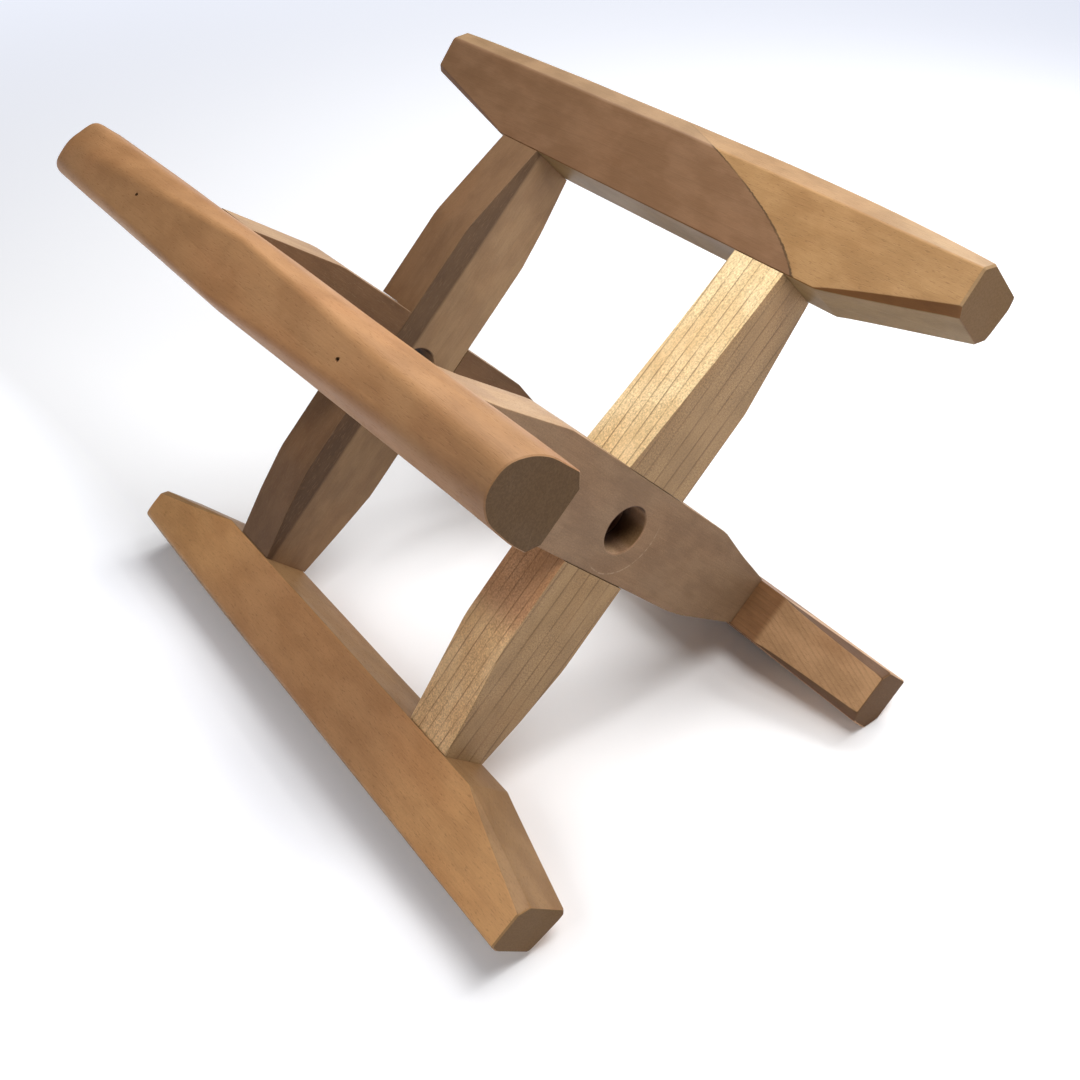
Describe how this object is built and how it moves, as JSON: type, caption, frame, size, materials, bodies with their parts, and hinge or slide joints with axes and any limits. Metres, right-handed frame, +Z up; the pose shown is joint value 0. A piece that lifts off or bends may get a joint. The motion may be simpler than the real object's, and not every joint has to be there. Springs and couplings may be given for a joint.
{
  "type": "wooden thread winding reel",
  "caption": "Open wooden reel for winding thread: straight rails held parallel by half-lapped crosses, each bored through its middle for a spindle.",
  "frame": {"origin": "middle of the reel, on the spindle axis, halfway between the crosses", "axes": "+Y along the spindle axis, from the front cross to the back cross; +Z up with the reel resting on its two lower rails; +X to the right seen from the front"},
  "size_m": [0.1418, 0.195, 0.1418],
  "materials": {
    "rail_wood": "bare hardwood, handled smooth, reddish tan",
    "arm_wood": "bare planed wood, straight thin growth lines",
    "nail_iron": "dark, slightly rusted iron"
  },
  "bodies": {
    "root": {"upper_left_rail": "rail_wood", "upper_right_rail": "rail_wood", "lower_left_rail": "rail_wood", "lower_right_rail": "rail_wood", "front_falling_arm": "arm_wood", "front_rising_arm": "arm_wood", "back_falling_arm": "arm_wood", "back_rising_arm": "arm_wood", "upper_left_front_nail": "nail_iron", "upper_left_back_nail": "nail_iron", "upper_right_front_nail": "nail_iron", "upper_right_back_nail": "nail_iron", "lower_left_front_nail": "nail_iron", "lower_left_back_nail": "nail_iron", "lower_right_front_nail": "nail_iron", "lower_right_back_nail": "nail_iron"}
  },
  "joints": []
}
